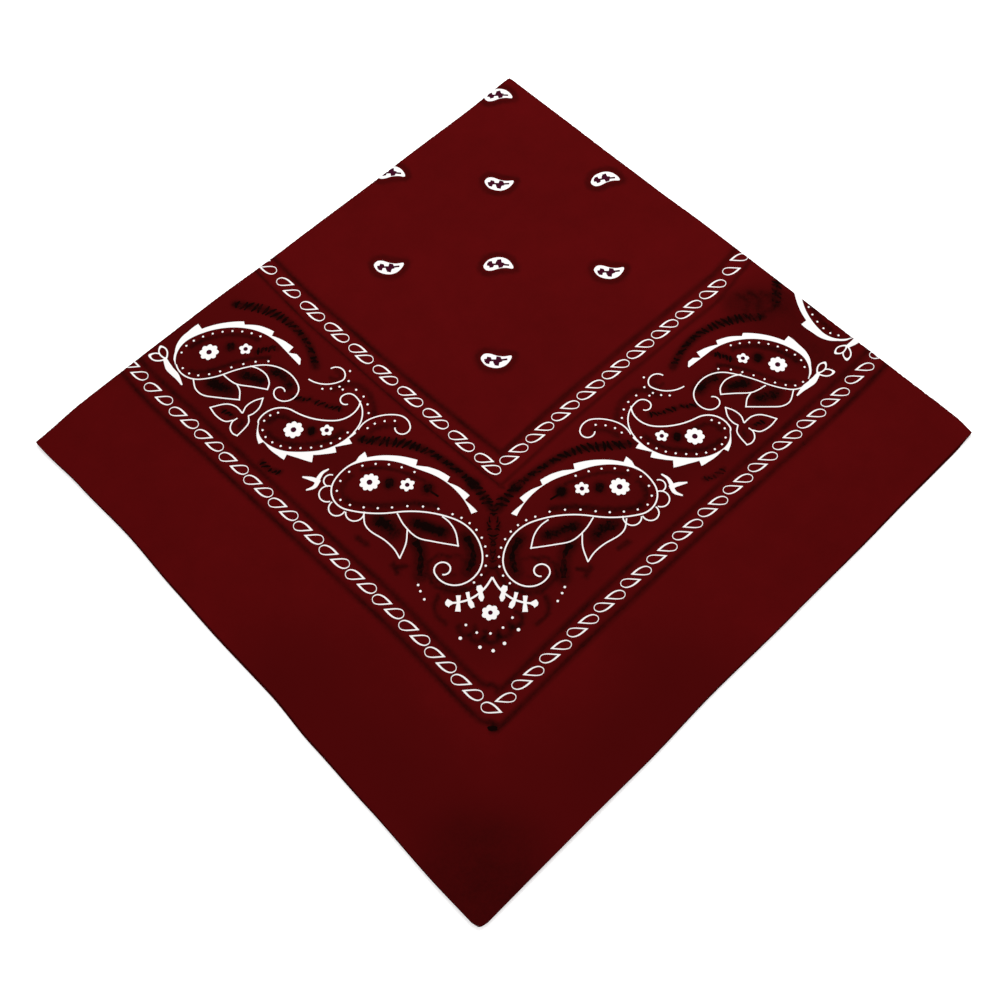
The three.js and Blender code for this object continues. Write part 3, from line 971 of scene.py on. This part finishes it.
ground_red = (0.066, 0.0022, 0.0025, 1)
deep_red = (0.055, 0.0019, 0.0021, 1)
bright_red = (0.078, 0.0024, 0.0028, 1)
soft_black = (0.0042, 0.0012, 0.0010, 1)
discharge_white = (0.74, 0.72, 0.71, 1)
heart_plum = (0.035, 0.0032, 0.011, 1)

# The noise of the cotton, in waves a metre
cloud_scale = 14
patch_scale = 90
thread_scale = 900
along_warp = (2.2, 0.28, 1)
along_weft = (0.28, 2.2, 1)
weave_depth = 0.2


def printed_cotton():
    paint = Paint("Printed cotton")
    place = paint.place()
    ink_colour = paint.node("ShaderNodeAttribute", {"attribute_name": "ink"}, {}, "Color")
    parts = [paint.node("ShaderNodeSeparateColor", {}, {"Color": ink_colour}, i) for i in range(3)]
    white, dark, heart = parts
    clouds = paint.noise(place, cloud_scale, 3, 0.55)
    patches = paint.noise(place, patch_scale, 3, 0.6)
    specks = paint.noise(place, thread_scale, 2, 0.6)
    warp = paint.thread(place, along_warp)
    weft = paint.thread(place, along_weft)
    tone = clouds * 0.9 + patches * 0.7 + specks * 0.35 - 0.5
    red = paint.mix(tone, deep_red, bright_red)
    # The dark channel carries black print and painted shade alike, both mixed towards soft black
    broken = dark * (patches * 1.3 + specks * 0.75)
    red = paint.mix(broken, red, soft_black)
    colour = paint.mix(white, red, discharge_white)
    colour = paint.mix(heart, colour, heart_plum)
    bumps = paint.weave(warp * 0.5 + weft * 0.5 + patches * 0.3, 0.35)
    paint.shade({"Base Color": colour, "Roughness": 0.86, "Specular IOR Level": 0.0, "Normal": bumps})
    return paint.material


def cotton_reverse():
    paint = Paint("Cotton reverse")
    place = paint.place()
    patches = paint.noise(place, patch_scale, 3, 0.6)
    warp = paint.thread(place, along_warp)
    weft = paint.thread(place, along_weft)
    colour = paint.mix(patches * 0.8 + warp * 0.4 - 0.1, deep_red, ground_red)
    bumps = paint.weave(warp + weft, 0.4)
    paint.shade({"Base Color": colour, "Roughness": 0.9, "Specular IOR Level": 0.0, "Normal": bumps})
    return paint.material


def white_paper():
    paint = Paint("White floor")
    paint.shade({"Base Color": (0.94, 0.94, 0.94, 1), "Roughness": 0.9})
    paint.shade({"Emission Color": (1, 1, 1, 1), "Emission Strength": 0.35})
    return paint.material


# The cloth

def edge_inset(layer):
    """How far a hidden layer's free edge lies in, dying away where the cloth turns over a fold."""
    inset, sway, waves, start = hidden_edges[layer]
    full = 2 * (quarter_wide + quarter_deep)

    def at_way(way):
        to_fold = np.where(way > 0, end_x(0) - way, end_y(low_x(quarter_deep)) + way)
        swayed = inset + sway * np.sin(2 * math.pi * waves * way / full + start)
        return swayed * smooth(to_fold / edges_join_in)

    return at_way


def no_inset(way):
    return 0.0 * way


def plain_side(edge_points):
    return triangulate(edge_points, plain_mesh_step)


def loop_of(sheet):
    return sheet[0][rim_loop(sheet[1])]


def joined_side(loop):
    """The points of a loop on the stacked fold, from the wrapped fold to the free edge."""
    past = loop[loop[:, 1] > end_y(loop[:, 0]) - on_edge]
    return past[np.argsort(-past[:, 0])][1:]


top_print = triangulate(plan_outline(no_inset), top_mesh_step, ink.shapes)
top_back = plain_side(loop_of(top_print))
bottom_print = triangulate(plan_outline(edge_inset(0)), hidden_mesh_step, ink.shapes)
bottom_loop = loop_of(bottom_print)
bottom_back = plain_side(bottom_loop)
third = plain_side(plan_outline(edge_inset(1), joined_side(bottom_loop)))
second = plain_side(plan_outline(edge_inset(2)))

top = Cloth("top_quarter")
top.layer(False, False, top_print, top_back, ("free", "wrap", "stack"))
hidden = Cloth("folded_quarters")
hidden.layer(True, False, bottom_print, bottom_back, ("free", "wrap"))
hidden.layer(True, True, third, third, ("free",))
hidden.layer(False, True, second, second, ("free", "stack"))

every_place = np.concatenate([*top.points, *hidden.points])
built_middle = (every_place.min(axis=0) + every_place.max(axis=0)) / 2
cad_low, cad_high = np.array(cad_box[0]), np.array(cad_box[1])
shift = ((cad_low + cad_high) / 2 / MM - built_middle)[:2]

cotton = printed_cotton()
reverse = cotton_reverse()
top_piece = top.build(shift, (cotton, reverse))
hidden_piece = hidden.build(shift, (cotton, reverse))
for piece, node, slot in ((top_piece, "top_layer", "printed_cotton"),
                          (hidden_piece, "hidden_layers", "cotton_reverse")):
    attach(piece, "root")
    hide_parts(node)

# Floor, light and camera. These sizes are in metres.
floor_size = 8
floor_height = -0.00005  # just under the cloth
key_place = Vector((0.19, 0.14, 0.5))
key_size = 0.3
key_power = 2.35
sky_strength = 0.75

bpy.ops.object.select_all(action="DESELECT")
bpy.ops.mesh.primitive_plane_add(size=floor_size, location=(0, 0, floor_height))
floor = bpy.context.object
floor.name = "floor"
floor.data.materials.append(white_paper())

world = bpy.data.worlds.new("Studio")
world.use_nodes = True
world.node_tree.nodes["Background"].inputs["Color"].default_value = (1, 1, 1, 1)
world.node_tree.nodes["Background"].inputs["Strength"].default_value = sky_strength
bpy.context.scene.world = world
bpy.context.scene.view_settings.view_transform = "Standard"

lamp = bpy.data.lights.new("key", "AREA")
lamp.size = key_size
lamp.energy = key_power
holder = bpy.data.objects.new("key", lamp)
holder.location = key_place
holder.rotation_euler = (-key_place).to_track_quat("-Z", "Y").to_euler()
bpy.context.scene.collection.objects.link(holder)

# The camera that fits the photo's four corners: sizes in millimetres, turns in degrees
camera_sensor = 36
camera_lens = 47.68
camera_aim = (119.1, 114.6, 3.0)  # on the cloth, in its own millimetres
camera_distance = 535.5
camera_heading = 50.84
camera_elevation = 64.95
camera_roll = -5.24

heading, elevation = math.radians(camera_heading), math.radians(camera_elevation)
ahead = math.cos(elevation)
view = Vector((ahead * math.cos(heading), ahead * math.sin(heading), -math.sin(elevation)))
level = Vector((math.sin(heading), -math.cos(heading), 0))
level.rotate(Matrix.Rotation(math.radians(-camera_roll), 3, view))
upward = level.cross(view)
camera = bpy.data.objects.new("camera", bpy.data.cameras.new("camera"))
camera.data.lens = camera_lens
camera.data.sensor_width = camera_sensor
camera.data.clip_start = 0.01
aim = Vector((camera_aim[0] + shift[0], camera_aim[1] + shift[1], camera_aim[2])) * MM
axes = Matrix((level, upward, -view)).transposed().to_4x4()
camera.matrix_world = Matrix.Translation(aim - view * camera_distance * MM) @ axes
bpy.context.scene.collection.objects.link(camera)
bpy.context.scene.camera = camera

bpy.context.view_layer.update()
